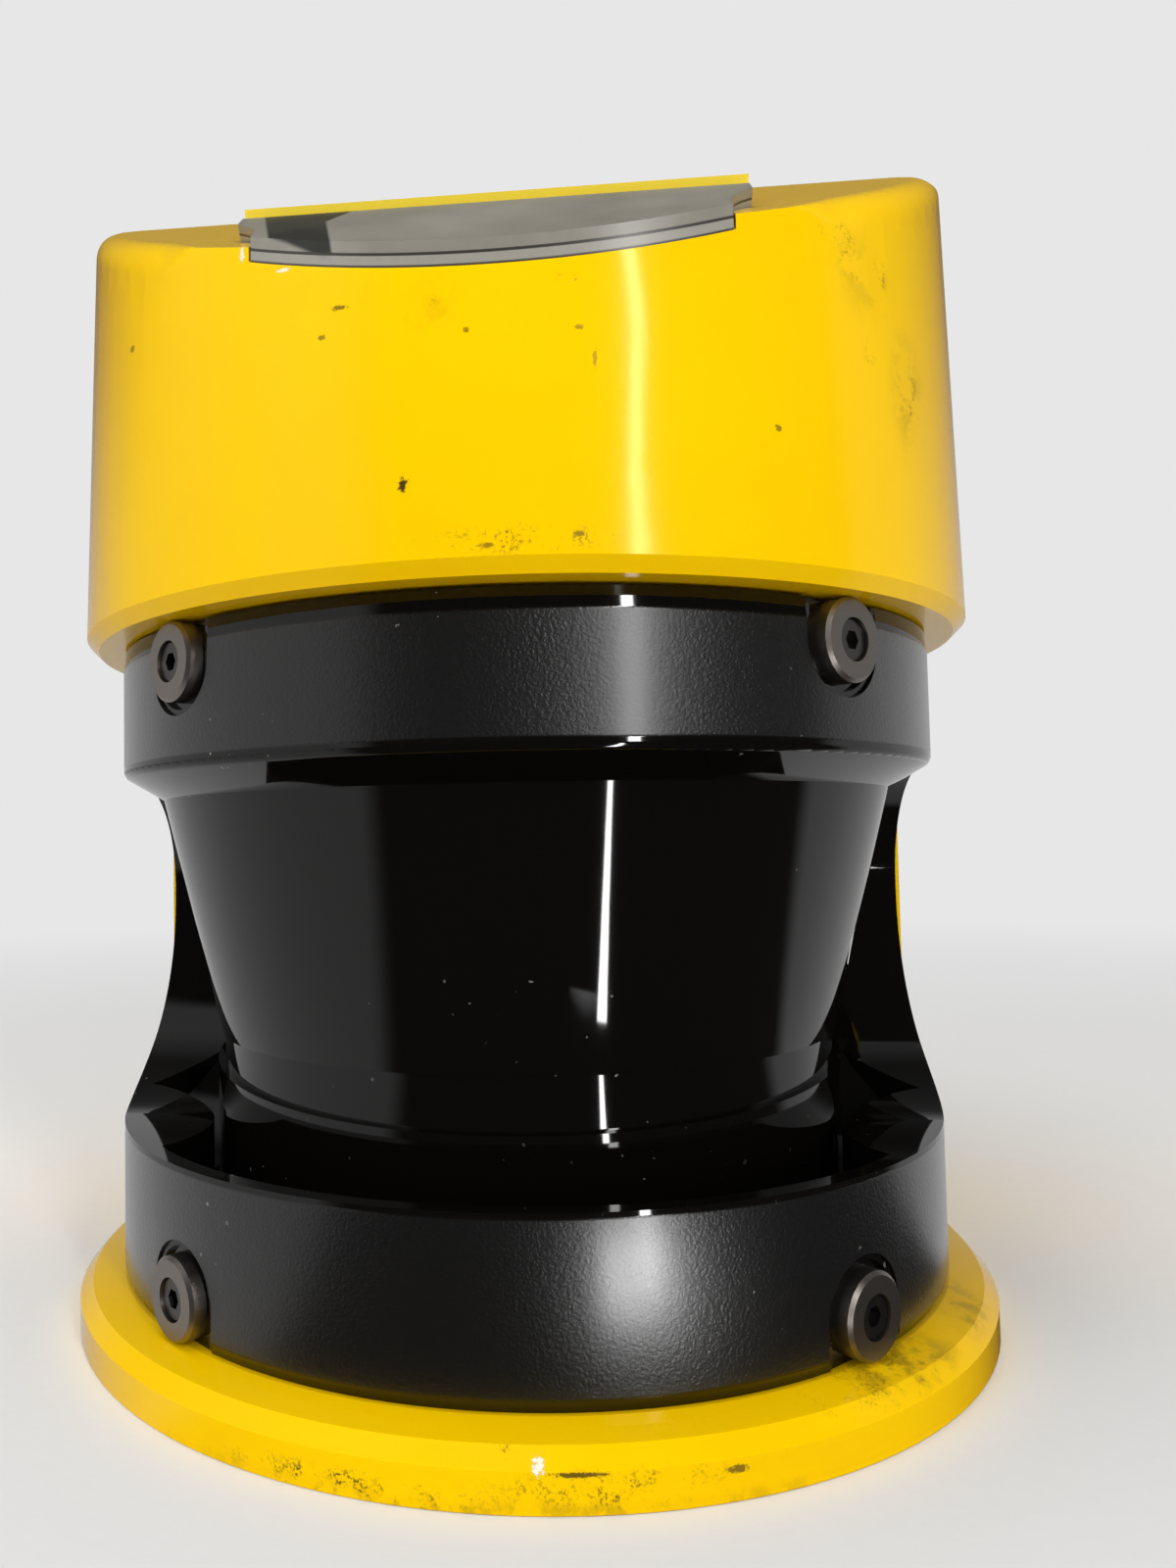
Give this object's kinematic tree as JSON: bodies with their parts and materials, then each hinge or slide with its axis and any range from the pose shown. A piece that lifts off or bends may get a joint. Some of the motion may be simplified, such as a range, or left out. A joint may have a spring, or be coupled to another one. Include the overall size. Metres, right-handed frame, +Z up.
{
  "type": "safety laser scanner",
  "caption": "Floor-standing safety laser scanner: yellow cast base and cap, black wrap-round optics cover with a conical scan window, spinning mirror inside.",
  "frame": {"origin": "on the mirror's spin axis, in the flat underside of the base", "axes": "+Z up along the mirror's spin axis, -Y out of the front through the scan window, +Y out of the flat back, +X to the right seen from the front"},
  "size_m": [0.155, 0.16, 0.185],
  "materials": {
    "yellow_paint": "glossy yellow coat, worn at the edges",
    "cover_black": "glossy black moulding with satin rings",
    "seal_rubber": "matt",
    "gunmetal": "satin, dark",
    "dark_screw": "black oxide",
    "steel_screw": "zinc plated",
    "smoke_window": "smoked, satin face",
    "black_plastic": "matt",
    "lens_white": "translucent",
    "display_red": "glossy",
    "board_green": "solder mask",
    "gold_contact": "gold plated",
    "nickel": "nickel plated",
    "chip_black": "matt",
    "brass_post": "satin",
    "black_aluminium": "black anodised",
    "filter_glass": "polished filter glass",
    "clear_glass": "polished",
    "bare_aluminium": "machined",
    "bearing_steel": "ground and polished",
    "core_steel": "laminated sheet",
    "copper_winding": "enamelled wire",
    "clear_plastic": "clear moulding",
    "magnet": "sintered",
    "mirror_front": "front coated"
  },
  "bodies": {
    "housing": {"base_casting": "yellow_paint", "optics_cover": "cover_black", "cover_seals": "seal_rubber", "cover_bushes": "gunmetal", "cover_screws": "dark_screw", "top_cover": "yellow_paint", "cap_gasket": "seal_rubber", "cap_screws": "steel_screw", "display_window": "smoke_window", "display_mask": "black_plastic", "status_lenses": "lens_white", "digit_display": "display_red", "indicator_board": "board_green", "io_socket": "black_plastic", "io_pins": "gold_contact", "io_board": "board_green", "config_socket": "nickel", "config_cap": "black_plastic", "vent_plug": "black_plastic", "main_board": "board_green", "main_board_parts": "chip_black", "power_board": "board_green", "power_board_parts": "chip_black", "board_posts": "brass_post", "board_screws": "steel_screw", "receiver_tube": "black_aluminium", "receiver_lens": "filter_glass", "lens_ring": "black_aluminium", "emitter_tube": "bare_aluminium", "collimator_lens": "clear_glass", "laser_diode": "brass_post", "detector_board": "board_green", "light_detector": "chip_black", "motor_plate": "bare_aluminium", "motor_screws": "steel_screw", "lower_bearing": "bearing_steel", "upper_bearing": "bearing_steel", "stator_core": "core_steel", "stator_coils": "copper_winding", "motor_board": "board_green", "encoder_reader": "black_plastic", "dust_sender_board": "board_green", "dust_senders": "clear_plastic", "dust_receiver_board": "board_green", "dust_receivers": "chip_black"},
    "mirror_rotor": {"rotor_shaft": "bearing_steel", "rotor_bell": "nickel", "magnet_ring": "magnet", "encoder_disc": "bare_aluminium", "mirror_carrier": "black_plastic", "scan_mirror": "mirror_front", "balance_weight": "brass_post"}
  },
  "joints": [
    {"name": "mirror_spin", "type": "hinge", "parent": "housing", "child": "mirror_rotor", "pos_m": [0, 0, 0], "axis": [0, 0, 1], "continuous": true}
  ]
}
